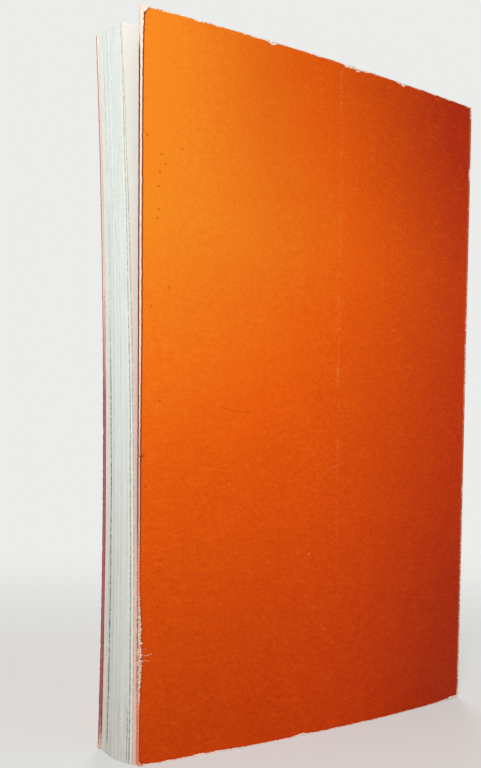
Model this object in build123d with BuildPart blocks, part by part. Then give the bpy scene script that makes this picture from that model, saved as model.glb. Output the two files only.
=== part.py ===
from build123d import *
import os
from math import pi, sin

# A worn softcover book, standing on its tail with its back cover sprung a little open.
# Sizes are in millimetres. The spine is at +X and the free edge of the leaves at -X, the back cover
# faces -Y and the front cover +Y. The origin is on the tail, under the middle of the page block.

page_width = 139.0
page_height = 210.0
spine_thickness = 15.0
card_thickness = 0.5
fold_radius = 0.3
clearance = 0.25

spine_x = page_width / 2
fold_x = spine_x + card_thickness / 2
fold_y = (spine_thickness - card_thickness) / 2
block_half = fold_y - fold_radius - clearance

# The book is warped, so its section changes from tail to head. The shape values below hold three
# numbers: at the tail, halfway up and at the head. The solids run smoothly through the three.
# An edge value is the Y of a sheet at the fore-edge, and a bow is how far it swells towards -Y.
stations = (0, 1, 2)
station_z = (0.0, page_height / 2, page_height)
back_cover_edge = (-7.45, -8.85, -9.45)
back_cover_bow = (4.4, 3.6, 2.7)
front_cover_edge = (14.05, 10.35, 13.75)
front_cover_bow = (1.8, 1.8, 1.8)
block_front_edge = (13.5, 9.55, 12.9)
split_edge = (7.9, 5.6, 10.6)
block_back_edge = (-4.1, -3.9, 1.7)
last_leaf_edge = (-6.2, -5.6, 0.5)
block_front_bow = 2.6
block_back_bow = 3.4

# The leaves have slipped: the fore-edge swells and slants at the tail, and the head has sunk there.
fore_edge_swell = (1.6, 0.7, 0.0)
fore_edge_slant = (1.4, 0.5, 0.0)
head_drop = 1.7

# The leaves lie in uneven groups, with a fine groove between two groups on all three cut edges.
# One groove near the front is a deep split.
group_count = 16
group_unevenness = 0.3
group_rhythm = 2.4
groove_width = 0.22
groove_depth = 0.35
split_after = 4
split_depth = 14.0
end_groove_width = 0.12
end_groove_depth = 0.3
end_groove_reach = (0.01, 0.5, 1.01)

# The last leaves stand apart as a fan, between the block and the back cover.
fan_count = 3
fan_leaf_thickness = 0.3
fan_root = 0.4
fan_start = 1 - fan_count * fan_leaf_thickness / (2 * block_half)

# The card is trimmed at the fore-edge and worn: its corners are round and its head is chipped.
# A chip is its X, width and depth.
cover_trim_x = -69.6
sheet_overrun = 1.02
corner_radius = 1.6
head_chips = ((-24.9, 1.6, 0.5), (5.5, 2.4, 0.7), (12.0, 5.0, 0.45), (31.9, 2.0, 0.6))


def sheet_y(root, edge, bow, reach):
    """Y of a bowed sheet, at a reach that is 0 at the spine and 1 at the fore-edge."""
    return root + (edge - root) * reach - 4 * bow * reach * (1 - reach)


def fore_edge_x(i, share):
    """X of the fore-edge at a share of the way through the block, from front to back."""
    return -spine_x - fore_edge_swell[i] * sin(pi * share) - fore_edge_slant[i] * (share - 0.5)


def group_share(k):
    """How far through the block the groove after group k lies."""
    return fan_start * (k + group_unevenness * sin(group_rhythm * k)) / group_count


split_share = group_share(split_after)


def leaf_point(i, share, reach, edge=None):
    """A point on the leaf at a share of the way through the block, at station i."""
    if edge is None and share < split_share:
        edge = block_front_edge[i] + (split_edge[i] - block_front_edge[i]) * share / split_share
    elif edge is None:
        beyond_split = (share - split_share) / (fan_start - split_share)
        edge = split_edge[i] + (block_back_edge[i] - split_edge[i]) * beyond_split
    root = block_half * (1 - 2 * share)
    bow = block_front_bow + (block_back_bow - block_front_bow) * share
    x = spine_x + (fore_edge_x(i, share) - spine_x) * reach
    return x, sheet_y(root, edge, bow, reach)


def fan_point(i, k, side, reach):
    """A point on fan leaf k, counted from the last leaf. Side 0 is its outer face, 1 its inner."""
    step = (block_back_edge[i] - last_leaf_edge[i]) / fan_count
    edge = last_leaf_edge[i] + k * step + side * fan_leaf_thickness
    share = 1 - (k + side) * fan_leaf_thickness / (2 * block_half)
    return leaf_point(i, share, reach, edge)


def draw_fan(i):
    """The last leaves, from the spine along the outermost face and in and out of each slit."""
    half_way = (1 + fan_root) / 2
    start = (spine_x, -block_half)
    ThreePointArc(start, fan_point(i, 0, 0, 0.5), fan_point(i, 0, 0, 1))
    for k in range(fan_count):
        tip = fan_point(i, k, 1, 1)
        root = fan_point(i, k, 1, fan_root)
        Line(fan_point(i, k, 0, 1), tip)
        ThreePointArc(tip, fan_point(i, k, 1, half_way), root)
        next_root = fan_point(i, k + 1, 0, fan_root)
        Line(root, next_root)
        ThreePointArc(next_root, fan_point(i, k + 1, 0, half_way), fan_point(i, k + 1, 0, 1))


def draw_fore_edge(i):
    """The cut ends of the leaf groups, from the fan to the front, with a groove between two groups."""
    half_groove = groove_width / (4 * block_half)
    last = fan_point(i, fan_count, 0, 1)
    for k in range(group_count - 1, 0, -1):
        depth = split_depth if k == split_after else groove_depth
        near_lip = leaf_point(i, group_share(k) + half_groove, 1)
        bottom = leaf_point(i, group_share(k), 1 - depth / page_width)
        far_lip = leaf_point(i, group_share(k) - half_groove, 1)
        Polyline(last, near_lip, bottom, far_lip)
        last = far_lip
    Line(last, leaf_point(i, 0, 1))


with BuildPart() as text_block:
    for i in stations:
        with BuildSketch(Plane.XY.offset(station_z[i])):
            with BuildLine():
                Line((spine_x, block_half), (spine_x, -block_half))
                draw_fan(i)
                draw_fore_edge(i)
                ThreePointArc(leaf_point(i, 0, 1), leaf_point(i, 0, 0.5), (spine_x, block_half))
            make_face()
    loft()

    # The head was cut square, and the leaves have sunk towards the fore-edge since.
    slope = head_drop / page_width
    head_plane = Plane((0, 0, page_height - head_drop / 2), x_dir=(1, 0, slope), z_dir=(-slope, 0, 1))
    split(bisect_by=head_plane, keep=Keep.BOTTOM)

    # The grooves between the groups go on over the head and the tail.
    for plane, i, into_block in ((Plane.XY, 0, 1), (head_plane, 2, -1)):
        with BuildSketch(plane):
            for k in range(1, group_count):
                middle = [leaf_point(i, group_share(k), reach) for reach in end_groove_reach]
                one_side = [(x, y + end_groove_width / 2) for x, y in middle]
                other_side = [(x, y - end_groove_width / 2) for x, y in reversed(middle)]
                with BuildLine():
                    ThreePointArc(*one_side)
                    Line(one_side[-1], other_side[0])
                    ThreePointArc(*other_side)
                    Line(other_side[-1], one_side[0])
                make_face()
        extrude(amount=into_block * end_groove_depth, mode=Mode.SUBTRACT)
text_block.part.label = "text_block"


def draw_sheet(root, edge, bow):
    """The section of a cover: a strip of card, bowed from its fold to past its trimmed edge."""
    reaches = (0, sheet_overrun / 2, sheet_overrun)
    middle = [(fold_x - (fold_x + spine_x) * reach, sheet_y(root, edge, bow, reach)) for reach in reaches]
    one_face = [(x, y + card_thickness / 2) for x, y in middle]
    other_face = [(x, y - card_thickness / 2) for x, y in reversed(middle)]
    ThreePointArc(*one_face)
    Line(one_face[-1], other_face[0])
    ThreePointArc(*other_face)
    Line(other_face[-1], one_face[0])


def chip_outline(x, width, depth):
    """A chip in the head edge: a ragged dip, from left to right."""
    left = (x - width / 2, page_height)
    low = (x - width / 5, page_height - depth)
    high = (x + width / 4, page_height - 0.6 * depth)
    right = (x + width / 2, page_height)
    return left, low, high, right


def draw_cover_outline(fore_edge_height, chips):
    """What is left of the card, seen square on: trimmed, chipped and worn round at its corners."""
    beyond_fold = 2 * spine_x
    head_edge = [point for chip in chips for point in chip_outline(*chip)]
    Polyline(
        (cover_trim_x, 0),
        (cover_trim_x, fore_edge_height),
        *head_edge,
        (fold_x, page_height),
        (beyond_fold, page_height),
        (beyond_fold, 0),
        (cover_trim_x, 0),
    )


with BuildPart() as back_cover:
    for i in stations:
        with BuildSketch(Plane.XY.offset(station_z[i])):
            with BuildLine():
                draw_sheet(-fold_y, back_cover_edge[i], back_cover_bow[i])
            make_face()
    loft()
    with BuildSketch(Plane.XY):
        with Locations((fold_x, -fold_y)):
            Circle(fold_radius)
    extrude(amount=page_height)
    with BuildSketch(Plane.XZ) as back_cover_outline:
        with BuildLine():
            draw_cover_outline(page_height, head_chips)
        make_face()
        fillet(back_cover_outline.vertices().group_by(Axis.X)[0], corner_radius)
    extrude(amount=spine_thickness * 2, both=True, mode=Mode.INTERSECT)
back_cover.part.label = "back_cover"


with BuildPart() as front_cover:
    for i in stations:
        with BuildSketch(Plane.XY.offset(station_z[i])):
            with BuildLine():
                draw_sheet(fold_y, front_cover_edge[i], front_cover_bow[i])
            make_face()
    loft()
    with BuildSketch(Plane.XY):
        with Locations((fold_x, fold_y)):
            Circle(fold_radius)
    extrude(amount=page_height)
    with BuildSketch(Plane.XZ) as front_cover_outline:
        with BuildLine():
            draw_cover_outline(page_height - head_drop, ())
        make_face()
        fillet(front_cover_outline.vertices().group_by(Axis.X)[0], corner_radius)
    extrude(amount=spine_thickness * 2, both=True, mode=Mode.INTERSECT)
front_cover.part.label = "front_cover"


# The spine is the strip of the same card that is glued to the block's back, between the two folds.
with BuildPart() as spine:
    with BuildSketch(Plane.XY):
        with Locations((fold_x, 0)):
            Rectangle(card_thickness, 2 * block_half)
    extrude(amount=page_height)
spine.part.label = "spine"


os.makedirs("parts", exist_ok=True)
export_step(text_block.part, "parts/text_block.step")
export_step(back_cover.part, "parts/back_cover.step")
export_step(front_cover.part, "parts/front_cover.step")
export_step(spine.part, "parts/spine.step")
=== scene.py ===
from math import cos, pi, radians, sin

import bpy
import numpy as np
from mathutils import Matrix, Vector, geometry


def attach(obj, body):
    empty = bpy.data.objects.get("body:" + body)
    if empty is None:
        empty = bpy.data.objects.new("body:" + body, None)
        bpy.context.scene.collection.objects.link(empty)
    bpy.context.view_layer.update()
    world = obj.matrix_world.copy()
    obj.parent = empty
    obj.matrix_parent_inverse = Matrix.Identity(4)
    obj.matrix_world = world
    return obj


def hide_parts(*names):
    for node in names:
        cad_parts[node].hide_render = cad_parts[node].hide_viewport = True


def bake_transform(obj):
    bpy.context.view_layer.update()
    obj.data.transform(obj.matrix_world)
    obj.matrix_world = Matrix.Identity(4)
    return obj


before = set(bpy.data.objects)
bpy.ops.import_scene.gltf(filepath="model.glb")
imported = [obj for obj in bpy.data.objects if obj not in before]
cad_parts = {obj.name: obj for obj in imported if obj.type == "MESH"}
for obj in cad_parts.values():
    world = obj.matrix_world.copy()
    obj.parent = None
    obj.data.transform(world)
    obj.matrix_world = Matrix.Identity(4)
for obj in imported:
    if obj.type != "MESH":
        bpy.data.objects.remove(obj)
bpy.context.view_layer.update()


# The page block: 136 leaves of uncoated book paper, trimmed on three sides and glued together at
# the spine. The book has warped, so the leaves have slipped at the fore-edge and parted in groups.
# The last eight lie past a narrow gap, and the last of all stands off a little more.
mm = 0.001
page_width = 139 * mm
page_height = 210 * mm
head_drop = 1.7 * mm
spine_x = page_width / 2
block_half = 6.7 * mm
leaf_count = 136
fan_count = 8
leaves_in_group = 8
split_after = 4
group_unevenness = 0.3
group_rhythm = 2.4
main_share = 0.9328

# Four leaves lead the rest: the first, the one at the split, the last of the main block and the
# last of all. A row holds the Y of a leaf's fore-edge in mm at the tail, halfway up and at the head.
first_leaf_edge = (13.5, 9.55, 12.9)
split_leaf_edge = (7.9, 5.6, 10.6)
main_leaf_edge = (-4.1, -3.9, 1.2)
last_leaf_edge = (-6.2, -6.2, 0.5)
fore_edge_swell = (1.6, 0.7, 0.0)
fore_edge_slant = (1.4, 0.5, 0.0)
first_leaf_bow = 2.6 * mm
last_leaf_bow = 3.4 * mm


def up_the_book(values, up):
    """A length at a share of the way up, on the smooth curve through its tail, middle and head."""
    tail, middle, head = values
    return mm * (tail * (1 - up) * (1 - 2 * up) + 4 * middle * up * (1 - up) - head * up * (1 - 2 * up))


def bowed(root, edge, bow, reach):
    """Y of a bowed sheet, at a reach that is 0 at the spine and 1 at the fore-edge."""
    return root + (edge - root) * reach - 4 * bow * reach * (1 - reach)


def leaf_place(share, edge, reach, up):
    """A point on the leaf at a share of the way through the block, from front to back."""
    edge_x = -spine_x - up_the_book(fore_edge_slant, up) * (share - 0.5)
    x = spine_x + (edge_x - spine_x) * reach
    bow = first_leaf_bow + (last_leaf_bow - first_leaf_bow) * share
    y = bowed(block_half * (1 - 2 * share), up_the_book(edge, up), bow, reach)
    return x, y, up * (page_height - head_drop * (spine_x - x) / page_width)


def new_mesh(name, points, faces, smooth=True, **floats):
    """A mesh from points and faces, with a float attribute for each named list."""
    mesh = bpy.data.meshes.new(name)
    mesh.from_pydata([tuple(map(float, p)) for p in points], [], [tuple(map(int, f)) for f in faces])
    mesh.polygons.foreach_set("use_smooth", [smooth] * len(mesh.polygons))
    for key, values in floats.items():
        mesh.attributes.new(key, "FLOAT", "POINT").data.foreach_set("value", np.asarray(values, np.float32))
    return mesh


def new_object(name, mesh):
    """An object at the origin that shows a mesh, a lamp or a camera."""
    shown = bpy.data.objects.new(name, mesh)
    bpy.context.scene.collection.objects.link(shown)
    return shown


def add(tree, kind, inputs=(), **settings):
    """Adds a node with its settings, and links or fills its inputs: in order, or named or numbered. A
    kind without the word Node in it is a ShaderNode, and one in capitals is an operation of Math."""
    if kind.isupper():
        kind, settings["operation"] = "Math", kind
    node = tree.nodes.new(kind if "Node" in kind else "ShaderNode" + kind)
    for key, value in settings.items():
        setattr(node, key, value)
    for key, value in inputs.items() if isinstance(inputs, dict) else enumerate(inputs):
        if isinstance(value, bpy.types.Node):
            value = value.outputs[0]
        if isinstance(value, bpy.types.NodeSocket):
            tree.links.new(value, node.inputs[key])
        else:
            node.inputs[key].default_value = value
    return node


def new_tree(name, **inputs):
    """An empty Geometry Nodes tree with named inputs, its input node and its output node."""
    tree = bpy.data.node_groups.new(name, "GeometryNodeTree")
    for key, kind in inputs.items():
        tree.interface.new_socket(key, in_out="INPUT", socket_type="NodeSocket" + kind)
    tree.interface.new_socket("Result", in_out="OUTPUT", socket_type="NodeSocketGeometry")
    return tree, tree.nodes.new("NodeGroupInput").outputs, tree.nodes.new("NodeGroupOutput").inputs


def grow(shown, tree, **values):
    """Runs a tree on an object with its named inputs set, and keeps the result as a plain mesh."""
    modifier = shown.modifiers.new(tree.name, "NODES")
    modifier.node_group = tree
    for item in tree.interface.items_tree:
        if item.in_out == "INPUT" and item.name in values:
            modifier[item.identifier] = values[item.name]
    evaluated = shown.evaluated_get(bpy.context.evaluated_depsgraph_get())
    result = bpy.data.meshes.new_from_object(evaluated)
    shown.modifiers.remove(modifier)
    shown.data = result
    return shown


def linear(colour):
    """The linear colour of an sRGB hex value."""
    shares = [int(colour[i:i + 2], 16) / 255 for i in (1, 3, 5)]
    return [s / 12.92 if s <= 0.04045 else ((s + 0.055) / 1.055) ** 2.4 for s in shares] + [1.0]


def scales(*sizes):
    """The scales of a pattern whose features have the sizes in mm along X, Y and Z."""
    return [1 / (size * mm) for size in sizes]


def new_material(name):
    """A material with its node tree and its shader."""
    material = bpy.data.materials.new(name)
    material.use_nodes = True
    return material, material.node_tree, material.node_tree.nodes["Principled BSDF"]


# Uncoated book paper, rough and a little grey: matt, and darker low on the fore-edge. The leaves
# next to the covers have yellowed. The last one's face is pink low down near the fore-edge: partly
# the cover's crimson rubbed off on it, partly painted crimson light thrown on it by the cover's inside.
paper, tree, shader = new_material("uncoated_paper")
shader.inputs["Roughness"].default_value = 0.92
shader.inputs["Specular IOR Level"].default_value = 0.2
paper_white = "#EAF1EE"
paper_low = "#DADAD6"
paper_cream = "#F3ECDC"
paper_brown = "#E6D6B8"
face_white = "#EEF1E8"
ink_and_bounce_pink = "#F0CABD"
streak_grey = "#A9ABA4"
# The gaps' dark colour is dust and painted shade between the leaves.
gap_dark = "#45433B"
on_leaf = {}
for key in ("leaf", "side", "reach", "creamy", "pinkish", "dust_and_gap_shade"):
    on_leaf[key] = add(tree, "Attribute", attribute_name=key).outputs["Fac"]
spot = add(tree, "TexCoord").outputs["Object"]
height = add(tree, "SeparateXYZ", (spot,)).outputs["Z"]
to_face = add(tree, "ABSOLUTE", (on_leaf["side"],))
on_cut = add(tree, "MapRange", (to_face, 1.0, 0.995))
low = add(tree, "MapRange", (height, 130 * mm, 0.0))
browned = add(tree, "MapRange", (on_leaf["reach"], 0.8, 1.0, 0.0, 0.15))
browned = add(tree, "SUBTRACT", (browned, on_cut))
browned = add(tree, "MAXIMUM", (browned, 0.0))
# This pink is partly rubbed-off ink and partly painted crimson bounce light.
pink_low = add(tree, "MapRange", (height, 160 * mm, 80 * mm))
pink_out = add(tree, "MapRange", (on_leaf["reach"], 0.82, 0.94))
rubbed = add(tree, "MULTIPLY", (pink_low, pink_out))
last_face = add(tree, "Mix", {0: rubbed, 6: linear(face_white), 7: linear(ink_and_bounce_pink)},
                data_type="RGBA")

# No two leaves reflect quite alike. The streaks are three leaves wide, since one leaf is a third of a
# pixel, and the dust and painted shade in the gaps between the groups breaks up every millimetre or so.
streaks_per_leaf = 0.42
streaks_per_metre = 30.0
streak_spot = add(tree, "CombineXYZ", (
    add(tree, "MULTIPLY", (on_leaf["leaf"], streaks_per_leaf)),
    add(tree, "MULTIPLY", (height, streaks_per_metre)),
))
streaks = add(tree, "TexNoise", {"Vector": streak_spot, "Scale": 1.0, "Detail": 3.0, "Roughness": 0.7})
streaky = add(tree, "MapRange", (streaks, 0.42, 0.72, 0.0, 0.48))
streaky = add(tree, "MULTIPLY", (streaky, on_cut))
dust_spot = add(tree, "Mapping", {0: spot, 3: scales(2, 2, 1.1111)})
dust_and_shade = add(tree, "TexNoise", {"Vector": dust_spot, "Scale": 1.0, "Detail": 4.0, "Roughness": 0.65})
dust_and_shade = add(tree, "MapRange", (dust_and_shade, 0.36, 0.6, 0.25, 1.0))
dust_and_shade = add(tree, "MULTIPLY", (dust_and_shade, on_leaf["dust_and_gap_shade"]))
paper_colour = linear(paper_white)
for share, over in (
    (low, linear(paper_low)),
    (on_leaf["creamy"], linear(paper_cream)),
    (browned, linear(paper_brown)),
    (on_leaf["pinkish"], last_face.outputs[2]),
    (streaky, linear(streak_grey)),
    (dust_and_shade, linear(gap_dark)),
):
    laid = add(tree, "Mix", {0: share, 6: paper_colour, 7: over}, data_type="RGBA")
    paper_colour = laid.outputs[2]
tree.links.new(paper_colour, shader.inputs["Base Color"])
fibre_noise = add(tree, "TexNoise", {"Vector": spot, "Scale": 1 / (0.5 * mm), "Detail": 4.0})
paper_grain = add(tree, "Bump", {"Strength": 0.25, "Distance": 0.03 * mm, "Height": fibre_noise})
tree.links.new(paper_grain.outputs[0], shader.inputs["Normal"])


def two_sided_grid(across, upward):
    """A thin closed sheet: the (reach, up, side) of each vertex, and its faces."""
    wide, high = len(across), len(upward)
    spots = [(reach, up, side) for side in (-1, 1) for up in upward for reach in across]
    far = wide * high
    faces = []
    for row in range(high - 1):
        for col in range(wide - 1):
            a = row * wide + col
            quad = (a, a + 1, a + wide + 1, a + wide)
            faces += [quad, tuple(far + v for v in reversed(quad))]
    tail = list(range(wide))
    fore_edge = list(range(2 * wide - 1, far, wide))
    head = list(range(far - 2, far - wide - 1, -1))
    spine = list(range(far - 2 * wide, 0, -wide))
    rim = tail + fore_edge + head + spine
    faces += [(b, a, far + a, far + b) for a, b in zip(rim, rim[1:] + rim[:1])]
    return spots, faces


# One leaf, with the places of the four leading leaves on its vertices. Its columns crowd towards
# the fore-edge and its rows towards the tail, where the leaves bend most.
leaf_columns = (0, 0.12, 0.3, 0.5, 0.68, 0.8, 0.88, 0.94, 0.975, 1)
leaf_rows = [(i / 31) ** 1.2 for i in range(32)]
spots, faces = two_sided_grid(leaf_columns, leaf_rows)
before_split = split_after + group_unevenness * sin(group_rhythm * split_after)
split_share = before_split * leaves_in_group / (leaf_count - fan_count)
guides = {
    "first_leaf": (0, first_leaf_edge),
    "split_leaf": (main_share * split_share, split_leaf_edge),
    "main_leaf": (main_share, main_leaf_edge),
    "last_leaf": (1, last_leaf_edge),
}
leaf_mesh = new_mesh(
    "leaf", [leaf_place(0, first_leaf_edge, reach, up) for reach, up, side in spots], faces, smooth=False,
    side=[side for reach, up, side in spots],
    reach=[reach for reach, up, side in spots],
    up=[up for reach, up, side in spots],
    swell=[reach * up_the_book(fore_edge_swell, up) for reach, up, side in spots],
)
for key, (share, edge) in guides.items():
    places = [leaf_place(share, edge, reach, up) for reach, up, side in spots]
    leaf_mesh.attributes.new(key, "FLOAT_VECTOR", "POINT").data.foreach_set("vector", np.ravel(places))

# The stack: the leaf is repeated, and each copy lies between the leading leaves by its number.
# Numbers are counted in leaves, with the two faces of a leaf a little less than one apart.
tree, given, result = new_tree(
    "stack_of_leaves", Leaf="Geometry", Leaves="Int", Fan="Int", Group="Int", Fullness="Float",
    Groove="Float", Split="Float", Opening="Float", Fan_gap="Float", Last_gap="Float", Waves="Float",
    Slip="Float", Seed="Int", Paper="Material",
)
one_leaf = add(tree, "GeometryNodeGeometryToInstance", (given["Leaf"],))
copies = add(tree, "GeometryNodeDuplicateElements", {
    0: one_leaf, "Amount": given["Leaves"],
}, domain="INSTANCE")
numbered = add(tree, "GeometryNodeStoreNamedAttribute", {
    0: copies, "Name": "leaf", "Value": copies.outputs[1],
}, data_type="FLOAT", domain="INSTANCE")
leaf, side, reach, up, swell = (
    add(tree, "GeometryNodeInputNamedAttribute", {"Name": key})
    for key in ("leaf", "side", "reach", "up", "swell")
)
half_leaf = add(tree, "MULTIPLY", (side, given["Fullness"]))
half_leaf = add(tree, "MULTIPLY_ADD", (half_leaf, 0.5, 0.5))
number = add(tree, "ADD", (leaf, half_leaf))

# The groups are uneven, and close up by the share of the groove between two of them.
group = add(tree, "DIVIDE", (leaf, given["Group"]))
group = add(tree, "FLOOR", (group,))
next_group = add(tree, "ADD", (group, 1.0))
within = add(tree, "DIVIDE", (number, given["Group"]))
within = add(tree, "SUBTRACT", (within, group))
closed = add(tree, "SUBTRACT", (1.0, given["Groove"]))
half_groove = add(tree, "MULTIPLY", (given["Groove"], 0.5))
within = add(tree, "MULTIPLY_ADD", (within, closed, half_groove))
ends = []
for end in (group, next_group):
    rhythm = add(tree, "MULTIPLY", (end, group_rhythm))
    rhythm = add(tree, "SINE", (rhythm,))
    ends.append(add(tree, "MULTIPLY_ADD", (rhythm, group_unevenness, end)))
in_block = add(tree, "MapRange", (within, 0.0, 1.0, *ends))
main_leaves = add(tree, "SUBTRACT", (given["Leaves"], given["Fan"]))
groups = add(tree, "DIVIDE", (main_leaves, given["Group"]))
share = add(tree, "DIVIDE", (in_block, groups))
to_split = add(tree, "MapRange", (share, 0.0, given["Split"]))
past_split = add(tree, "MapRange", (share, given["Split"], 1.0))

# The fan leaves start past a gap, and the last leaf stands past one more.
fan_end = add(tree, "SUBTRACT", (1.0, given["Last_gap"]))
to_last = add(tree, "MapRange", (number, main_leaves, given["Leaves"], given["Fan_gap"], fan_end))
last_one = add(tree, "SUBTRACT", (given["Leaves"], 1.5))
is_last = add(tree, "GREATER_THAN", (leaf, last_one))
to_last = add(tree, "MULTIPLY_ADD", (is_last, given["Last_gap"], to_last))
last_main = add(tree, "SUBTRACT", (main_leaves, 0.5))
is_fan = add(tree, "GREATER_THAN", (leaf, last_main))
to_last = add(tree, "MULTIPLY", (to_last, is_fan))
place, *later_places = (
    add(tree, "GeometryNodeInputNamedAttribute", {"Name": key}, data_type="FLOAT_VECTOR") for key in guides
)
for step, later in zip((to_split, past_split, to_last), later_places):
    place = add(tree, "Mix", {0: step, 4: place, 5: later}, data_type="VECTOR").outputs[1]

# The fore-edge swells in the middle of the stack, and the leaves slip a little past each other.
arch = add(tree, "MULTIPLY", (share, pi * main_share))
arch = add(tree, "SINE", (arch,))
arch = add(tree, "MULTIPLY", (arch, swell))
own_slip = add(tree, "FunctionNodeRandomValue", {2: -0.4, 3: 0.4, "ID": leaf, "Seed": given["Seed"]})
group_slip = add(tree, "FunctionNodeRandomValue", {2: -0.6, 3: 0.6, "ID": group, "Seed": given["Seed"]})
slip = add(tree, "ADD", (own_slip.outputs[1], group_slip.outputs[1]))
for factor in (given["Slip"], reach):
    slip = add(tree, "MULTIPLY", (slip, factor))
out = add(tree, "SUBTRACT", (slip, arch))

# The leaves wave out of line, more towards the fore-edge and most at the tail, and open at the split.
waves_per_leaf = 0.11
waves_up = 7.0
wave_spot = add(tree, "CombineXYZ", (
    add(tree, "MULTIPLY", (number, waves_per_leaf)),
    add(tree, "MULTIPLY", (up, waves_up)),
))
waves = add(tree, "TexNoise", {"Vector": wave_spot, "Scale": 1.0, "Detail": 1.0})
waves = add(tree, "SUBTRACT", (waves, 0.5))
near_tail = add(tree, "MapRange", (up, 0.12, 0.0, 1.0, 2.2))
for factor in (near_tail, given["Waves"]):
    waves = add(tree, "MULTIPLY", (waves, factor))
opened = add(tree, "LESS_THAN", (share, given["Split"]))
sideways = add(tree, "MULTIPLY_ADD", (opened, given["Opening"], waves))
bend = add(tree, "POWER", (reach, 3.0))
sideways = add(tree, "MULTIPLY", (sideways, bend))
shift = add(tree, "CombineXYZ", (out, sideways))

# Each vertex has its own place, so the copies are made real before they are placed.
stack = add(tree, "GeometryNodeRealizeInstances", (numbered,))
placed = add(tree, "GeometryNodeSetPosition", {0: stack, "Position": place, "Offset": shift})
finished = add(tree, "GeometryNodeSetMaterial", {0: placed, "Material": given["Paper"]})
tree.links.new(finished.outputs[0], result[0])

leaves = grow(
    new_object("leaves", leaf_mesh), tree, Leaves=leaf_count, Fan=fan_count, Group=leaves_in_group,
    Fullness=0.84, Groove=0.12, Split=split_share, Opening=0.14 * mm, Fan_gap=0.22, Last_gap=0.22,
    Waves=0.9 * mm, Slip=0.12 * mm, Seed=7, Paper=paper,
)

# The gaps between the groups are darkened, most at the split and next to the fan: dust, and painted
# shade. The leaves near the covers have yellowed. Two leaves of the last groups are painted dark at
# the tail, a painted shade where they curl open.
leaf_data = {}
for key in ("leaf", "side", "up"):
    leaf_data[key] = np.zeros(len(leaves.data.vertices), np.float32)
    leaves.data.attributes[key].data.foreach_get("value", leaf_data[key])
leaf_of = np.rint(leaf_data["leaf"]).astype(int)
rng = np.random.default_rng(4)
gap_dust_and_shade = np.zeros(leaf_count)
for first in range(leaves_in_group, leaf_count - fan_count, leaves_in_group):
    gap_dust_and_shade[first - 1:first + 1] = rng.uniform(0.05, 0.26)
first_past_split = split_after * leaves_in_group
for first, amount in ((first_past_split, 0.95), (leaf_count - fan_count, 0.55), (leaf_count - 1, 0.5)):
    gap_dust_and_shade[first - 1] = amount
curled_leaves = (119, 123)
curl_shade = 0.9 * np.isin(leaf_of, curled_leaves) * np.clip(2.5 - leaf_data["up"] / 0.04, 0, 1)
closing = np.clip((0.66 - leaf_data["up"]) / 0.14, 0.3, 1)
darkness_left = np.where(leaf_of == first_past_split - 1, closing, 1)
numbers = np.arange(leaf_count)
cream_by_leaf = np.where(numbers < 20, 0.55, 0) + np.where(numbers > leaf_count - fan_count, 0.8, 0)
for key, values in (
    ("dust_and_gap_shade", np.maximum(gap_dust_and_shade[leaf_of] * darkness_left, curl_shade)),
    ("creamy", cream_by_leaf[leaf_of]),
    ("pinkish", (leaf_of == leaf_count - 1) * (leaf_data["side"] > 0)),
):
    leaves.data.attributes.new(key, "FLOAT", "POINT").data.foreach_set("value", values.astype(np.float32))
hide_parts("text_block")
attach(leaves, "page_block")


# The back cover: the half of the card sheet that the photo shows. It is scored and folded at the
# spine and trimmed with the leaves, and years of use have bowed it, rounded its corners and chipped
# its head. Its edge and bow are in mm at the tail, halfway up and at the head.
back_cover_edge = (-7.9, -8.7, -9.4)
back_cover_bow = (4.4, 3.6, 2.7)

# Coated card, a white board about half a millimetre thick, printed orange outside and rose red
# inside, then varnished satin. The print is worn off along every edge, where the board's fibres show.
card, tree, shader = new_material("coated_card")
shader.inputs["Specular IOR Level"].default_value = 0.05
orange_light = "#F48820"
orange = "#F5610A"
orange_deep = "#CE3004"
rose_red = "#A3203F"
rose_faded = "#AE3049"
board = "#FAE9DA"
board_shade = "#C98F80"
print_edge = "#8A3612"
ink_stain = "#A8686C"
fibre_tan = "#E07C48"
maroon = "#86281C"
grime = "#962A00"
scuff = "#EBA877"
line_pale = "#F2AE64"
spot = add(tree, "TexCoord").outputs["Object"]
axes = add(tree, "SeparateXYZ", (spot,)).outputs
on_card = {}
for key in ("face_side", "edge_distance", "wear_width", "ragged", "rubbed", "stained", "grimy", "tanned",
            "outlined", "dirt"):
    on_card[key] = add(tree, "Attribute", attribute_name=key).outputs["Fac"]

# Noise on the card: blotches of about a centimetre, level wisps, and the short flecks of the board's
# grain, drawn about a millimetre long so that they show.
blotches = add(tree, "TexNoise", {"Vector": spot, "Scale": 1 / (9 * mm), "Detail": 6.0, "Roughness": 0.7})
blotches = add(tree, "MULTIPLY_ADD", (blotches, 0.14, -0.07))
wisp_spot = add(tree, "Mapping", {0: spot, 3: scales(3.846, 3.846, 1)})
wisps = add(tree, "TexNoise", {"Vector": wisp_spot, "Scale": 1.0, "Detail": 2.0, "Roughness": 0.6})
wisps = add(tree, "MapRange", (wisps, 0.57, 0.72, 0.0, 0.12))
fleck_spot = add(tree, "Mapping", {0: spot, 3: scales(1.25, 1.25, 0.7692)})
flecks = add(tree, "TexNoise", {"Vector": fleck_spot, "Scale": 1.0, "Detail": 3.0, "Roughness": 0.7})
hue_shift = add(tree, "MULTIPLY_ADD", (flecks, 0.4, -0.2))
grain_tone = add(tree, "MapRange", (flecks, 0.3, 0.7, 0.97, 1.03))
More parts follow.
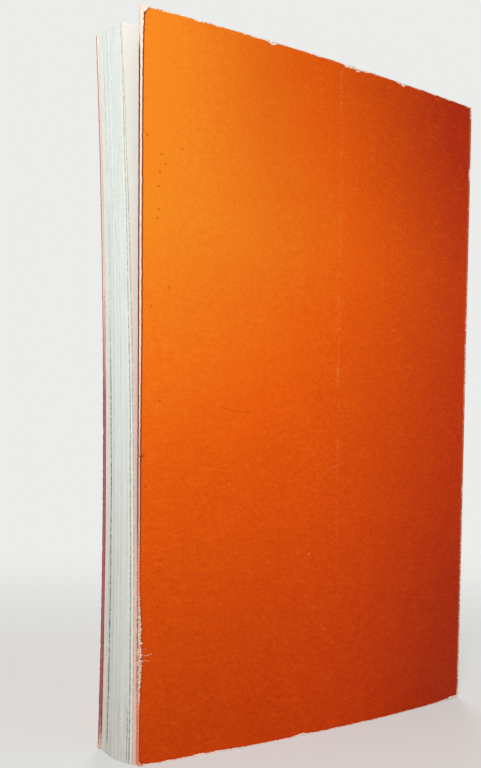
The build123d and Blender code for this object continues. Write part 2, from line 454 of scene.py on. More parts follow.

# The print is painted darker along the head and the tail, low on the side that opens, and most at both
# ends of the fold: painted shade where less light reaches the cover. A row holds where that begins and
# is full, in mm up Z and along X, and how much of the light it takes. The first is the painted shade
# along the head, which is also deeper in hue. The whole card lies to the right of all_along.
all_along = (-900, -800)
painted_shade = 0.0
shaded_places = []
for z_from, z_to, x_from, x_to, amount in (
    (150, 205, -56, -26, 0.12),
    (70, 0, *all_along, 0.09),
    (115, 80, -5, -55, 0.1),
    (140, 190, 5, 45, 0.06),
    (90, 35, 15, 60, 0.15),
):
    up_there = add(tree, "MapRange", (axes["Z"], z_from * mm, z_to * mm))
    along_there = add(tree, "MapRange", (axes["X"], x_from * mm, x_to * mm))
    shaded_places.append(add(tree, "MULTIPLY", (up_there, along_there)))
    painted_shade = add(tree, "MULTIPLY_ADD", (shaded_places[-1], amount, painted_shade))
left_lit = add(tree, "SUBTRACT", (0.96, painted_shade))

# The print is painted lighter towards the head and the fore-edge and deepest low at the spine: painted
# light and shade, for the way the light falls off across the cover.
from_edge = add(tree, "MapRange", (axes["X"], -66 * mm, 62 * mm))
from_edge = add(tree, "POWER", (from_edge, 1.15))
falloff_across = add(tree, "MapRange", (from_edge, 0.0, 1.0, 1.0, 0.15))
from_tail = add(tree, "MapRange", (axes["Z"], 0.0, 155 * mm))
from_tail = add(tree, "POWER", (from_tail, 1.6))
falloff_up = add(tree, "MapRange", (from_tail, 0.0, 1.0, 0.23, 1.0))
tone_and_falloff = add(tree, "MULTIPLY_ADD", (falloff_across, falloff_up, blotches))
tone_and_falloff = add(tree, "MULTIPLY_ADD", (shaded_places[0], -0.15, tone_and_falloff))
for shift in (wisps, hue_shift):
    tone_and_falloff = add(tree, "ADD", (tone_and_falloff, shift))
deep_half = add(tree, "MapRange", (tone_and_falloff, 0.0, 0.5))
light_half = add(tree, "MapRange", (tone_and_falloff, 0.5, 1.0))
printed = linear(orange_deep)
for share, over in ((deep_half, orange), (light_half, orange_light)):
    laid = add(tree, "Mix", {0: share, 6: printed, 7: linear(over)}, data_type="RGBA")
    printed = laid.outputs[2]
printed = add(tree, "VectorMath", {0: printed, 3: left_lit}, operation="SCALE")
worn_inside = add(tree, "MapRange", (blotches, -0.02, 0.04))
inside = add(tree, "Mix", {0: worn_inside, 6: linear(rose_red), 7: linear(rose_faded)},
             data_type="RGBA")
outside = add(tree, "GREATER_THAN", (on_card["face_side"], 0.5))
both_faces = add(tree, "Mix", {0: outside, 6: inside.outputs[2], 7: printed}, data_type="RGBA")
both_faces = add(tree, "VectorMath", {0: both_faces.outputs[2], 3: grain_tone}, operation="SCALE")

# A neighbour on the shelf has rubbed a broken line down the back cover, about a millimetre wide.
line_x = 3.4 * mm
wobble = add(tree, "MULTIPLY_ADD", (blotches, 25 * mm, axes["X"]))
from_line = add(tree, "SUBTRACT", (wobble, line_x))
from_line = add(tree, "ABSOLUTE", (from_line,))
on_line = add(tree, "MapRange", (from_line, 0.9 * mm, 0.1 * mm, 0.0, 0.48))
for mask in (
    add(tree, "MapRange", (blotches, -0.015, 0.03, 0.1, 1.0)),
    add(tree, "MapRange", (flecks, 0.48, 0.62, 0.12, 1.0)),
    add(tree, "MapRange", (axes["Z"], 30 * mm, 130 * mm)),
    add(tree, "LESS_THAN", (axes["Y"], 0.0)),
    outside,
):
    on_line = add(tree, "MULTIPLY", (on_line, mask))

# Where the print has worn away: a ragged band of bare fibres, with a dark lip of print beside it that
# is partly dirt and partly painted shade along the edge. The raggedness runs across the edge in short
# teeth, as torn fibres do.
teeth_spot = add(tree, "Mapping", {0: spot, 3: scales(2.2222, 2.2222, 0.6667)})
teeth = add(tree, "TexNoise", {"Vector": teeth_spot, "Scale": 1.0, "Detail": 4.0, "Roughness": 0.6})
torn = add(tree, "MapRange", (teeth, 0.3, 0.7, -0.9, 0.9))
torn = add(tree, "MULTIPLY_ADD", (torn, on_card["ragged"], 1.0))
band = add(tree, "MULTIPLY", (on_card["wear_width"], torn))
depth = add(tree, "SUBTRACT", (band, on_card["edge_distance"]))
bare = add(tree, "MapRange", (depth, -0.02 * mm, 0.04 * mm))
rub = add(tree, "MULTIPLY_ADD", (teeth, 0.9, -0.45))
rub = add(tree, "ADD", (rub, on_card["rubbed"]))
rub = add(tree, "MapRange", (rub, 0.45, 0.65))
bare = add(tree, "MAXIMUM", (bare, rub))
lip = add(tree, "MapRange", (depth, -0.5 * mm, -0.35 * mm))
lip = add(tree, "MULTIPLY", (lip, on_card["grimy"]))
paler = add(tree, "MULTIPLY", (on_card["rubbed"], 0.6))
print_colour = both_faces.outputs[0]
for share, over in ((paler, scuff), (on_line, line_pale), (lip, print_edge)):
    laid = add(tree, "Mix", {0: share, 6: print_colour, 7: linear(over)}, data_type="RGBA")
    print_colour = laid.outputs[2]

# The bare fibres: shaded, stained by the ink, painted dark in the gaps between torn ones for the shade
# there, crimson at the back cover's inner rim, which is partly the inside's print and partly a painted
# shadow of the gap behind the edge, crimson at the front cover's outer rim, and tanned where the edge
# is only rubbed.
fibre_tone = add(tree, "TexNoise", {"Vector": spot, "Scale": 1 / (0.35 * mm), "Detail": 3.0})
fibre_shade = add(tree, "MapRange", (fibre_tone, 0.5, 0.8, 0.0, 0.7))
fibre_gap_shade = add(tree, "MapRange", (fibre_tone, 0.5, 0.58))
most_torn = add(tree, "MapRange", (on_card["ragged"], 0.55, 1.0, 0.0, 0.85))
fibre_gap_shade = add(tree, "MULTIPLY", (fibre_gap_shade, most_torn))
inner_rim_print_and_shadow = add(tree, "MapRange", (on_card["face_side"], -0.05, -0.25))
below_head = add(tree, "MapRange", (axes["Z"], 203 * mm, 198 * mm))
for mask in (on_card["grimy"], below_head):
    inner_rim_print_and_shadow = add(tree, "MULTIPLY", (inner_rim_print_and_shadow, mask))
outer_rim = add(tree, "MapRange", (on_card["face_side"], -0.9, -0.35))
outer_rim = add(tree, "MULTIPLY", (outer_rim, on_card["outlined"]))
crimson_and_shadow = add(tree, "MAXIMUM", (inner_rim_print_and_shadow, outer_rim))
fibre_colour = linear(board)
for share, over in ((fibre_shade, board_shade), (on_card["stained"], ink_stain), (fibre_gap_shade, print_edge),
                    (crimson_and_shadow, maroon), (on_card["tanned"], fibre_tan)):
    laid = add(tree, "Mix", {0: share, 6: fibre_colour, 7: linear(over)}, data_type="RGBA")
    fibre_colour = laid.outputs[2]
card_colour = print_colour
for share, over in ((bare, fibre_colour), (on_card["dirt"], linear(grime))):
    laid = add(tree, "Mix", {0: share, 6: card_colour, 7: over}, data_type="RGBA")
    card_colour = laid.outputs[2]
tree.links.new(card_colour, shader.inputs["Base Color"])
gloss = add(tree, "MapRange", (bare, 0.0, 1.0, 0.45, 0.95))
tree.links.new(gloss.outputs[0], shader.inputs["Roughness"])
peel = add(tree, "TexNoise", {"Vector": spot, "Scale": 1 / (0.8 * mm), "Detail": 4.0})
relief = add(tree, "MULTIPLY", (bare, fibre_tone))
relief = add(tree, "MULTIPLY_ADD", (relief, 3.0, peel))
card_grain = add(tree, "Bump", {"Strength": 0.35, "Distance": 0.03 * mm, "Height": relief})
tree.links.new(card_grain.outputs[0], shader.inputs["Normal"])

card_thickness = 0.5 * mm
fold_x = spine_x + card_thickness / 2
fold_y = 7.25 * mm
fold_bend = 0.35 * mm
trim_x = -69.6 * mm
seam_y = 6.6 * mm
floor_gap = 0.12 * mm
edge_strip = 1.5 * mm
seam_length = fold_y - fold_bend - seam_y
fold_length = seam_length + fold_bend * pi / 2
rubbed_length = fold_length + 0.6 * mm
cover_length = fold_length + fold_x - fold_bend - trim_x


def cover_place(edge, bow, facing, across, height, lift):
    """A point of a cover: its distance across the card from the seam on the spine, its height, and
    how far it lies outside the middle of the card. facing is -1 for the back cover, 1 for the front."""
    up = height / page_height
    root, edge, bow = facing * fold_y, up_the_book(edge, up), up_the_book(bow, up)
    on_sheet = across > fold_length
    sheet_x = fold_x - fold_bend - np.maximum(across - fold_length, 0)
    reach = (fold_x - sheet_x) / (fold_x - trim_x)
    tilt = (edge - root - 4 * bow * (1 - 2 * reach)) / (fold_x - trim_x)
    turn = np.clip((across - seam_length) / (fold_length - seam_length), 0, 1) * pi / 2
    sunk = bowed(root, edge, bow, fold_bend / (fold_x - trim_x)) - root
    arc_y = facing * (fold_y - fold_bend + fold_bend * np.sin(turn)) + sunk * np.sin(turn)
    arc_y = np.where(across < seam_length, facing * (seam_y + across), arc_y)
    x = np.where(on_sheet, sheet_x, fold_x - fold_bend + fold_bend * np.cos(turn))
    y = np.where(on_sheet, bowed(root, edge, bow, reach), arc_y)
    outward_x = np.where(on_sheet, facing * tilt, np.cos(turn))
    outward_y = np.where(on_sheet, facing, facing * np.sin(turn))
    length = np.hypot(outward_x, outward_y)
    return np.stack([x + lift * outward_x / length, y + lift * outward_y / length, height], -1)


def worn_loop(corners, raggedness, seed, step=0.7 * mm):
    """The outline of a card through its corners, in short steps, with a slightly ragged edge. Returns
    points with x across the card and y up it, and their outward directions."""
    rng = np.random.default_rng(seed)
    points = []
    for a, b in zip(corners, corners[1:] + corners[:1]):
        a, b = np.array(a), np.array(b)
        count = max(1, int(round(np.linalg.norm(b - a) / step)))
        points += [a + (b - a) * i / count for i in range(count)]
    points = np.array(points)
    along = np.roll(points, -1, 0) - np.roll(points, 1, 0)
    along /= np.linalg.norm(along, axis=1)[:, None]
    outward = np.stack([along[:, 1], -along[:, 0]], -1)
    return points - outward * (raggedness * rng.random(len(points)) ** 3)[:, None], outward


def near_line(points, start, end):
    """The distance of each point from a straight line."""
    start, along = np.array(start), np.array(end) - np.array(start)
    share = np.clip((points - start) @ along / (along @ along), 0, 1)
    return np.linalg.norm(points - start - share[:, None] * along, axis=1)


def rounded(corner, before, after, radius=0.6 * mm, steps=5):
    """The points that round a corner off, between the corner before it and the one after it."""
    corner, before, after = (np.array(p, float) for p in (corner, before, after))
    into, out = before - corner, after - corner
    into, out = into / np.linalg.norm(into), out / np.linalg.norm(out)
    turn = [pi / 2 * i / steps for i in range(steps + 1)]
    return [tuple(corner + radius * ((1 - sin(t)) * into + (1 - cos(t)) * out)) for t in turn]


def new_card(name, place, outline, outward, inner, wear, seams=(0,), marks=(), folds=(), shadow_lip_depth=0.0):
    """An object of card with a worn edge. The outline and the inner points are laid flat, filled with
    triangles, and set on both faces by place(); the rim between them is swollen and rough. At the
    places across the card that seams names it meets the next sheet, with no wear. A mark gives one
    inner point its own amount of a colour, and each of folds is a row of inner points along the fold."""
    rim = len(outline)
    edges = [(i, (i + 1) % rim) for i in range(rim)]
    for row in folds:
        ends = [int(np.argmin(np.hypot(*(outline - inner[i]).T))) for i in (row[0], row[-1])]
        chain = [ends[0], *(rim + i for i in row), ends[1]]
        edges += list(zip(chain, chain[1:]))
    points = [Vector(p) / mm for p in np.concatenate([outline, inner])]
    filled = geometry.delaunay_2d_cdt(points, edges, [], 1, 1e-6)
    spots = np.array([tuple(v) for v in filled[0]]) * mm
    assert len(spots) == len(points)
    count = len(spots)
    at_seam = np.min([abs(outline[:, 0] - seam) for seam in seams], axis=0) < 0.01 * mm
    distance = np.full(count, np.inf)
    for i in range(rim):
        if not (at_seam[i] and at_seam[i - 1]):
            distance = np.minimum(distance, near_line(spots, outline[i - 1], outline[i]))

    # The two faces of the card, then the two loops of the swollen rim between them.
    half = card_thickness / 2
    rng = np.random.default_rng(rim)
    bulge = outward * (0.05 * mm + 0.07 * mm * rng.random(rim))[:, None]
    bulge[at_seam] = 0
    # At the trimmed edge the inner face is pushed in: a lip that carries the painted shadow of the gap
    # behind the edge.
    at_trim = shadow_lip_depth * (spots[:, 0] > spots[:, 0].max() - 0.3 * mm)
    sheets = [place(*spots.T, half), place(*spots.T, -half - at_trim)]
    sheets += [place(*(outline + bulge).T, half * lift) for lift in (0.4, -0.7)]
    every = np.concatenate(sheets)
    faces = [tuple(t) for t in filled[2]]
    faces += [tuple(count + v for v in reversed(t)) for t in faces]
    for i in range(rim):
        j = (i + 1) % rim
        loops = [(first + i, first + j) for first in (0, 2 * count, 2 * count + rim, count)]
        faces += [(a[1], a[0], b[0], b[1]) for a, b in zip(loops, loops[1:])]
    fans = [(every[f[0]], every[f[i]], every[f[i + 1]]) for f in faces for i in range(1, len(f) - 1)]
    if sum(a @ np.cross(b, c) for a, b, c in fans) < 0:
        faces = [tuple(reversed(f)) for f in faces]

    # Rubs and dirt are on the outer face only, and the rim takes after the outline.
    fields = wear(spots)
    for key in ("dirt", "tanned", "outlined"):
        fields.setdefault(key, np.zeros(count))
    for index, key, amount in marks:
        fields[key][rim + index] = amount
    for key, values in fields.items():
        inside = values * (key not in ("rubbed", "dirt"))
        fields[key] = np.concatenate([values, inside, values[:rim], values[:rim]])
    fields["edge_distance"] = np.concatenate([distance, distance, np.full(2 * rim, -0.1 * mm)])
    fields["face_side"] = np.repeat((1, -1, 0.3, -0.3), (count, count, rim, rim))
    mesh = new_mesh(name, every, faces, **fields)
    mesh.set_sharp_from_angle(angle=radians(50))
    mesh.materials.append(card)
    return new_object(name, mesh)


def grid_points(across, heights):
    """Points at every crossing of two rows of numbers."""
    return np.array([(a, h) for a in across for h in heights])


def back_place(across, height, lift):
    """A point of the back cover."""
    return cover_place(back_cover_edge, back_cover_bow, -1, across, height, lift)


def across_from_x(x):
    """How far across the card a point of the cover lies, from its X."""
    return fold_length + fold_x - fold_bend - x


def chip(x, width, depth):
    """A chip in the head edge of a cover: a ragged dip, seen from the fore-edge to the spine."""
    a = across_from_x(x)
    low, high = top - depth, top - 0.6 * depth
    return [(a + width / 2, top), (a + width / 5, low), (a - width / 4, high), (a - width / 2, top)]


# The outline, from the seam along the tail, up the fore-edge past its nick and back over the chips
# of the head. A row of head_chips holds the X, width and depth of a chip in mm.
top = page_height - 0.1 * mm
raggedness = 0.12 * mm
head_chips = ((-24.9, 1.6, 0.25), (5.5, 2.4, 0.35), (12.0, 5.0, 0.25), (31.9, 2.0, 0.3))
nick_height = 88.5 * mm
nick_depth = 0.5 * mm
tail_corner, head_corner = (cover_length, floor_gap), (cover_length, top)
seam_tail, seam_head = (0.0, floor_gap), (0.0, top)
fold_rows = [seam_length + (fold_length - seam_length) * i / 6 for i in range(7)]
fold_rows += [fold_length + 0.5 * mm, fold_length + 1.0 * mm]
fold_at_tail = [seam_tail] + [(a, floor_gap) for a in fold_rows]
fold_at_head = [(a, top) for a in reversed(fold_rows)] + [seam_head]
corners = fold_at_tail + rounded(tail_corner, seam_tail, head_corner)
for up in (-0.4, -0.15, 0, 0.15, 0.4):
    corners.append((cover_length - nick_depth * (up == 0), nick_height + up * mm))
corners += rounded(head_corner, tail_corner, seam_head)
for x, width, depth in head_chips:
    corners += chip(x * mm, width * mm, depth * mm)
outline, outward = worn_loop(corners + fold_at_head, raggedness, seed=3)

# The flat sheet's inner points: close rows over the fold and along the trimmed edges, and wide ones
# between. Specks of dirt, a scratch, the nick's slit and fine torn lines have points of their own.
fold_heights = np.linspace(1.0 * mm, page_height - 1.1 * mm, 120)
folds = [range(i * len(fold_heights), (i + 1) * len(fold_heights)) for i in range(len(fold_rows))]
wide_columns = np.linspace(fold_length + 4 * mm, cover_length - 4 * mm, 34)
head_columns = np.linspace(fold_length + 2 * mm, cover_length - 3 * mm, 130)
trim_columns = cover_length - np.array((0.45, 1.2, 2.4)) * mm
tail_rows = np.array((0.6, 1.4, 2.6)) * mm
head_rows = page_height - np.array((1.0, 1.6, 2.6)) * mm
inner = [
    grid_points(fold_rows, fold_heights),
    grid_points(wide_columns, np.linspace(5 * mm, page_height - 5 * mm, 50)),
    grid_points(trim_columns, np.linspace(2.5 * mm, page_height - 2.5 * mm, 140)),
    grid_points(wide_columns, tail_rows),
    grid_points(head_columns, head_rows),
]
specks = (
    (-67.5, 176), (-56.3, 174), (-63, 171.5), (-61.7, 169), (-63.5, 166.5), (-64, 162.7), (-63.9, 156.5),
    (-64.4, 154), (-60.3, 135.5), (-66, 130), (-63.3, 104), (-67.6, 80), (-63, 59), (-64.7, 55.5),
    (-65, 51), (-63.8, 45.5),
)
light_specks = ((-1.7, 33.3), (1.8, 84.9), (-8.5, 57.8))
speck_radius = 0.5 * mm
first_mark = sum(map(len, inner))
marks = []
mark_points = []
for places, key, amount in ((specks, "dirt", 0.8), (light_specks, "rubbed", 0.75)):
    for x, z in places:
        x, z = across_from_x(x * mm), z * mm
        marks.append((first_mark + len(mark_points), key, amount))
        mark_points.append((x, z))
        for turn in (i * pi / 3 for i in range(6)):
            mark_points.append((x + speck_radius * cos(turn), z + speck_radius * sin(turn)))


def mark_line(start, end, sag, key, amount, steps):
    """Points for a fine line on the cover, from one (x, z) in mm to another, with its colour mark."""
    start, along = np.array(start), np.array(end) - np.array(start)
    past_end = 0.2 / np.hypot(*along)
    beside = 0.15 * np.array((-along[1], along[0])) / np.hypot(*along)
    for share in [-past_end] + [i / steps for i in range(steps + 1)] + [1 + past_end]:
        middle = start + along * share - (0, sag * sin(pi * share))
        if 0 <= share <= 1:
            marks.append((first_mark + len(mark_points), key, amount))
        for x, z in (middle, middle + beside, middle - beside):
            mark_points.append((across_from_x(x * mm), z * mm))


# A dark scratch, the slit of the nick, and three pale torn lines beside the frayed edge.
mark_line((-42.5, 102.7), (-31.6, 101.5), 0.5, "dirt", 0.5, 22)
mark_line((-68.9, 88.5), (-67.9, 88.55), 0.0, "dirt", 0.8, 5)
mark_line((-68.6, 31.9), (-65.4, 32.3), 0.1, "rubbed", 0.7, 9)
mark_line((-68.7, 30.7), (-66.2, 30.2), -0.1, "rubbed", 0.7, 8)
mark_line((-68.8, 33.4), (-67.3, 34.0), 0.0, "rubbed", 0.65, 5)
inner = np.concatenate(inner + [np.array(mark_points)])


def near(values, *places):
    """How near values are to some places, added up. A place is its middle and width in mm, and how much
    being there amounts to."""
    return sum(
        amount * np.exp(-((values - middle * mm) / (width * mm)) ** 2) for middle, width, amount in places
    )


def back_wear(spots):
    """What each stretch of the cover has been through: how wide and ragged the bare band is along the
    nearest edge, how far its print is rubbed, how dark its lip is with dirt and painted shade, and how far
    ink has stained its fibres and hands have tanned them. The slit of the nick is dark."""
    x = fold_x - fold_bend - (spots[:, 0] - fold_length)
    z = spots[:, 1]
    from_fore_edge = cover_length - spots[:, 0]
    at_fore_edge = from_fore_edge < edge_strip
    at_tail = (z < 3 * mm) & ~at_fore_edge
    at_head = (z > page_height - 3 * mm) & ~at_fore_edge
    at_fold = spots[:, 0] < rubbed_length
    in_nick = (from_fore_edge < 0.6 * mm) * (abs(z - nick_height) < 0.3 * mm)
    width = np.full(len(spots), 0.12)
    width += at_fore_edge * (0.7 * np.exp((z - page_height) / (8 * mm)) + near(z, (33, 12, 0.8)))
    width += at_fore_edge * 0.22 * np.clip((z - 90 * mm) / (30 * mm), 0, 1)
    width += at_tail * (0.12 + near(x, (-46, 9, 0.3), (-11, 4, 0.4), (70, 11, 0.8)))
    width += at_head * (0.17 + near(x, (9, 4, 0.7), (-25, 1.5, 0.4), (32, 2, 0.4)))
    rubbed = 0.4 + 0.12 * (z < 70 * mm)
    rubbed += near(z, (187, 1.5, 0.4), (76, 1.5, 0.4), (122, 22, 0.15), (0, 1.5, 0.8), (210, 3, 0.4))
    handled = np.clip((24 * mm - z) / (8 * mm), 0, 1) + near(z, (54, 9, 0.85), (30, 9, 0.35))
    return {
        "wear_width": width * mm,
        "rubbed": rubbed * at_fold,
        "grimy": (from_fore_edge < 3 * mm) * np.clip(1.0 - 0.6 * handled, 0.3, 1),
        "stained": near(z, (80, 30, 0.35)),
        "ragged": 0.3 + near(z, (36, 20, 0.7)) + 0.5 * at_head + 0.3 * at_tail,
        "tanned": at_fore_edge * np.clip(0.85 * handled, 0, 0.85),
        "dirt": 0.85 * in_nick,
    }


back_card = new_card(
    "back_card", back_place, outline, outward, inner, back_wear,
    marks=marks, folds=folds, shadow_lip_depth=0.8 * mm,
)
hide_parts("back_cover")
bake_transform(back_card)


# Torn fibres: low on its fore-edge the back cover's board has frayed into short stiff hairs, which
# are still rooted in the card. They are drawn at least twice as thick as real ones, so that they show.
torn_board, tree, shader = new_material("torn_board_fibres")
shader.inputs["Roughness"].default_value = 0.95
shader.inputs["Specular IOR Level"].default_value = 0.1
hair_pale = "#FAEBDC"
hair_shaded = "#CC9478"
spot = add(tree, "TexCoord").outputs["Object"]
hair_tone = add(tree, "TexNoise", {"Vector": spot, "Scale": 1 / (0.9 * mm), "Detail": 2.0})
hair_tone = add(tree, "MapRange", (hair_tone, 0.45, 0.7))
hair_colour = add(tree, "Mix", {0: hair_tone, 6: linear(hair_pale), 7: linear(hair_shaded)},
                  data_type="RGBA")
tree.links.new(hair_colour.outputs[2], shader.inputs["Base Color"])
hair_grain = add(tree, "TexNoise", {"Vector": spot, "Scale": 1 / (0.1 * mm), "Detail": 2.0})
hair_bump = add(tree, "Bump", {"Strength": 0.3, "Distance": 0.02 * mm, "Height": hair_grain})
tree.links.new(hair_bump.outputs[0], shader.inputs["Normal"])

# One hair: a tapered four-sided stem that curls up, 1 mm long, rooted at the origin.
hair_curl = 0.3
hair_points = []
for share, thick in ((0.0, 0.1), (0.35, 0.085), (0.7, 0.06)):
    for around in (pi / 4 + turn * pi / 2 for turn in range(4)):
        risen = thick * sin(around) + hair_curl * share ** 2
        hair_points.append((share * mm, thick * cos(around) * mm, risen * mm))
hair_points.append((1.0 * mm, 0.0, hair_curl * mm))
hair_faces = [(3, 2, 1, 0)]
for ring in (0, 4):
    hair_faces += [(ring + i, ring + (i + 1) % 4, ring + 4 + (i + 1) % 4, ring + 4 + i) for i in range(4)]
hair_faces += [(8 + i, 8 + (i + 1) % 4, 12) for i in range(4)]

# The frayed edge: a hair grows on most of the roots, at its own length and angle.
tree, given, result = new_tree(
    "frayed_edge", Roots="Geometry", Hair="Object", Kept="Float", Shortest="Float", Longest="Float",
    Spread="Float", Seed="Int", Board="Material",
)
seed = given["Seed"]
kept = add(tree, "FunctionNodeRandomValue", {"Probability": given["Kept"], "Seed": seed},
           data_type="BOOLEAN")
lengths = add(tree, "FunctionNodeRandomValue", {2: given["Shortest"], 3: given["Longest"], "Seed": seed})
back = add(tree, "MULTIPLY", (given["Spread"], -1.0))
swing = add(tree, "FunctionNodeRandomValue", {2: back, 3: given["Spread"], "Seed": 11})
droop = add(tree, "FunctionNodeRandomValue", {2: -0.5, 3: 0.5, "Seed": 12})
roll = add(tree, "FunctionNodeRandomValue", {2: 0.0, 3: 6.28, "Seed": 13})
face_out = add(tree, "ADD", (swing.outputs[1], pi + 0.55))
angles = add(tree, "CombineXYZ", (roll.outputs[1], droop.outputs[1], face_out))
hair = add(tree, "GeometryNodeObjectInfo", (given["Hair"],))
hairs = add(tree, "GeometryNodeInstanceOnPoints", {
    0: given["Roots"], "Selection": kept.outputs[3], "Instance": hair.outputs["Geometry"],
    "Rotation": angles, "Scale": lengths.outputs[1],
})
real = add(tree, "GeometryNodeRealizeInstances", (hairs,))
finished = add(tree, "GeometryNodeSetMaterial", {0: real, "Material": given["Board"]})
tree.links.new(finished.outputs[0], result[0])

# A row of roots holds its lowest and highest Z in mm, and how many roots it has on each face.
root_rows = ((19, 46, 90), (46, 66, 22), (8, 19, 10))
root_heights = np.concatenate([np.linspace(*row) for row in root_rows]) * mm
root_across = np.full(len(root_heights), cover_length - 0.05 * mm)
root_places = np.concatenate([
    back_place(root_across, root_heights, 0.12 * mm),
    back_place(root_across, root_heights + 0.13 * mm, -0.2 * mm),
])
hair_shape = new_object("hair_shape", new_mesh("hair_shape", hair_points, hair_faces))
torn_fibres = grow(
    new_object("torn_fibres", new_mesh("torn_fibres", root_places, [])), tree, Hair=hair_shape, Kept=0.8,
    Shortest=0.35, Longest=1.1, Spread=0.6, Seed=5, Board=torn_board,
)
bpy.data.objects.remove(hair_shape)
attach(torn_fibres, "back_cover")


# The front cover: the other half of the card, scored, folded and trimmed with the back one. The
# photo shows only its fore-edge, which is rubbed bare and stained.
front_cover_edge = (14.05, 10.35, 13.75)
front_cover_bow = (1.8, 1.8, 1.8)


def front_place(across, height, lift):
    """A point of the front cover."""
    return cover_place(front_cover_edge, front_cover_bow, 1, across, height, lift)


head_fall = head_drop - 0.1 * mm
front_head_corner = (cover_length, top - head_fall)
corners = fold_at_tail + rounded(tail_corner, seam_tail, front_head_corner)
corners += rounded(front_head_corner, tail_corner, (fold_length, top))
outline, outward = worn_loop(corners + fold_at_head, raggedness, seed=5)
under_head = []
for a in np.linspace(fold_length + 2 * mm, cover_length - 3 * mm, 70):
    fallen = head_fall * max(0, a - fold_length) / (cover_length - fold_length)
    under_head += [(a, page_height - down - fallen) for down in (1.0 * mm, 2.6 * mm)]
inner = np.concatenate([
    grid_points(fold_rows, fold_heights),
    grid_points(wide_columns, np.linspace(5 * mm, page_height - 7 * mm, 50)),
    grid_points(trim_columns, np.linspace(2.5 * mm, page_height - 5 * mm, 120)),
    grid_points(wide_columns, tail_rows),
    np.array(under_head),
])


def front_wear(spots):
    """The front cover's edge has a crimson rim outside, and the ink of its inside has stained it, more
    so lower down. It is bare at its two corners, and low down white fibres break through."""
    z = spots[:, 1]
    from_fore_edge = cover_length - spots[:, 0]
    at_fore_edge = from_fore_edge < edge_strip
    width = 0.12 + 0.5 * at_fore_edge
    width += 0.5 * np.exp(-np.hypot(from_fore_edge, z - page_height) / (12 * mm))
    width += 0.4 * np.exp(-np.hypot(from_fore_edge, z) / (6 * mm))
    stained = np.clip((150 * mm - z) / (45 * mm), 0.3, 1) - near(z, (210, 15, 0.3), (0, 6, 0.7))
    return {
        "wear_width": width * mm,
        "rubbed": 0.35 * (spots[:, 0] < rubbed_length),
        "grimy": np.zeros(len(spots)),
        "stained": np.clip(stained, 0, 1),
        "ragged": 0.5 + near(z, (0, 30, 0.3)),
        "outlined": 1.0 * at_fore_edge,
    }


front_card = new_card("front_card", front_place, outline, outward, inner, front_wear, folds=folds)
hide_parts("front_cover")
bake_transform(front_card)


# The spine: the strip of the same card between the two folds, glued flat to the backs of the leaves.
# The photo doesn't show it, so it is plain, with a little wear at its head, its tail and its folds.
strip_width = 2 * seam_y


def spine_place(across, height, lift):
    """A point of the spine: its distance across the card from the back cover's seam, and its height."""
    return np.stack([np.full_like(across, fold_x + lift), across - seam_y, height], -1)


corners = [(0.0, floor_gap), (strip_width, floor_gap), (strip_width, top), (0.0, top)]
outline, outward = worn_loop(corners, 0.0, seed=9)
strip_columns = np.linspace(0.8 * mm, strip_width - 0.8 * mm, 8)
inner = grid_points(strip_columns, np.linspace(1.0 * mm, page_height - 1.1 * mm, 60))


def spine_wear(spots):
    """The spine is worn only at its head and tail, and rubbed a little along its two folds."""
    from_fold = np.minimum(spots[:, 0], strip_width - spots[:, 0])
    clean = np.zeros(len(spots))
    return {
        "wear_width": clean + 0.3 * mm,
        "rubbed": 0.3 * (from_fold < 0.5 * mm),
        "grimy": clean,
        "stained": clean,
        "ragged": clean + 0.6,
    }


spine_card = new_card(
    "spine_card", spine_place, outline, outward, inner, spine_wear, seams=(0, strip_width)
)
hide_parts("spine")
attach(spine_card, "page_block")


# The studio: a pale floor that runs out into the backdrop, a soft main lamp on the left of the camera
# and a fainter one behind the book. What a camera, a gloss or a clear material sees of the room is
# paler than its light.
backdrop_colour = "#ECECEA"
floor_colour = "#DEDEDB"
room_light = "#F2F2F0"
floor_material, tree, shader = new_material("pale_floor")
shader.inputs["Base Color"].default_value = linear(floor_colour)
shader.inputs["Roughness"].default_value = 0.85
spot = add(tree, "TexCoord").outputs["Object"]
far_off = add(tree, "VectorMath", (spot,), operation="LENGTH").outputs["Value"]
runs_out = add(tree, "MapRange", (far_off, 0.1, 0.6, 0.4, 1.0), interpolation_type="SMOOTHSTEP")
seen = add(tree, "LightPath").outputs["Is Camera Ray"]
runs_out = add(tree, "MULTIPLY", (runs_out, seen))
glow = add(tree, "Emission", {"Color": linear(backdrop_colour)})
near_and_far = add(tree, "MixShader", (runs_out, shader, glow))
tree.links.new(near_and_far.outputs[0], tree.nodes["Material Output"].inputs["Surface"])
floor_size = 4.0
corners = [(x * floor_size, y * floor_size, 0.0) for x, y in ((-1, -1), (1, -1), (1, 1), (-1, 1))]
floor = new_object("floor", new_mesh("floor", corners, [(0, 1, 2, 3)]))
floor.data.materials.append(floor_material)

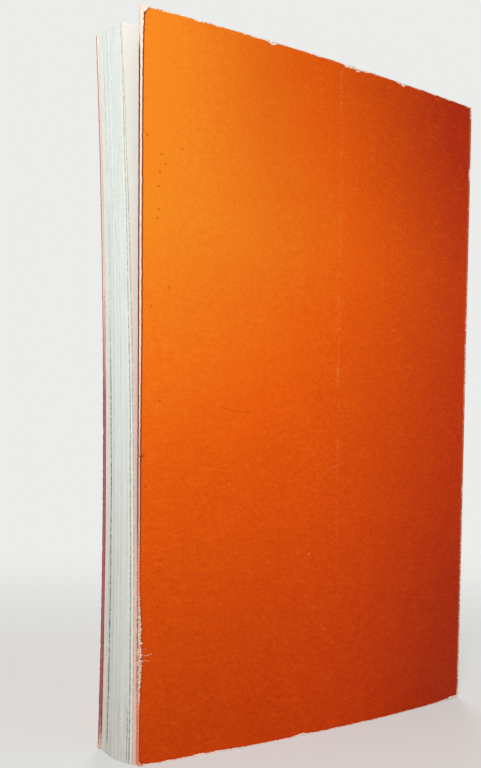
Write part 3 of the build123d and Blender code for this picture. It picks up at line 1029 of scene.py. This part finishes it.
room = bpy.data.worlds.new("room")
bpy.context.scene.world = room
room.use_nodes = True
tree = room.node_tree
light_of_room = tree.nodes["Background"]
light_of_room.inputs["Color"].default_value = linear(room_light)
light_of_room.inputs["Strength"].default_value = 0.35
look_of_room = add(tree, "Background", {"Color": linear(backdrop_colour), "Strength": 1.0})
rays = add(tree, "LightPath").outputs
looked_at = rays["Is Camera Ray"]
for kind in ("Is Glossy Ray", "Is Transmission Ray"):
    looked_at = add(tree, "MAXIMUM", (looked_at, rays[kind]))
room_seen = add(tree, "MixShader", (looked_at, light_of_room, look_of_room))
tree.links.new(room_seen.outputs[0], tree.nodes["World Output"].inputs["Surface"])


def soft_lamp(name, azimuth, elevation, distance, size, power, aim):
    """A round lamp aimed at a point. Azimuth 0 is in front, at -Y, and turns towards +X."""
    lamp = bpy.data.lights.new(name, "AREA")
    lamp.shape = "DISK"
    lamp.size = size
    lamp.energy = power
    shown = new_object(name, lamp)
    turn, rise = radians(azimuth), radians(elevation)
    away = Vector((sin(turn) * cos(rise), -cos(turn) * cos(rise), sin(rise)))
    shown.location = Vector(aim) + distance * away
    shown.rotation_euler = away.to_track_quat("Z", "Y").to_euler()


soft_lamp("main_lamp", azimuth=-46, elevation=25, distance=0.62, size=0.15, power=2.7, aim=(0, 0, 0.13))
soft_lamp("back_lamp", azimuth=140, elevation=30, distance=0.9, size=0.4, power=3.0, aim=(0, 0, 0.1))

# The camera stands close and low, in front of the fore-edge side of the back cover. The numbers are
# fitted to the corners and edges of the book in the photo, 481 by 768 pixels.
photo_height = 768
focal_length = 1081.7
horizon_row = 527.5
lens = bpy.data.cameras.new("camera")
lens.sensor_width = 36
lens.lens = lens.sensor_width * focal_length / photo_height
lens.shift_y = (horizon_row - photo_height / 2) / photo_height
camera = new_object("camera", lens)
heading, pitch, roll = radians(38.49), radians(-4.55), radians(0.428)
turned = Matrix.Rotation(-heading, 4, "Z") @ Matrix.Rotation(pi / 2 + pitch, 4, "X")
turned = turned @ Matrix.Rotation(roll, 4, "Z")
camera.matrix_world = Matrix.Translation((-0.2353, -0.26261, 0.09279)) @ turned
bpy.context.scene.camera = camera
bpy.context.scene.view_settings.view_transform = "Standard"
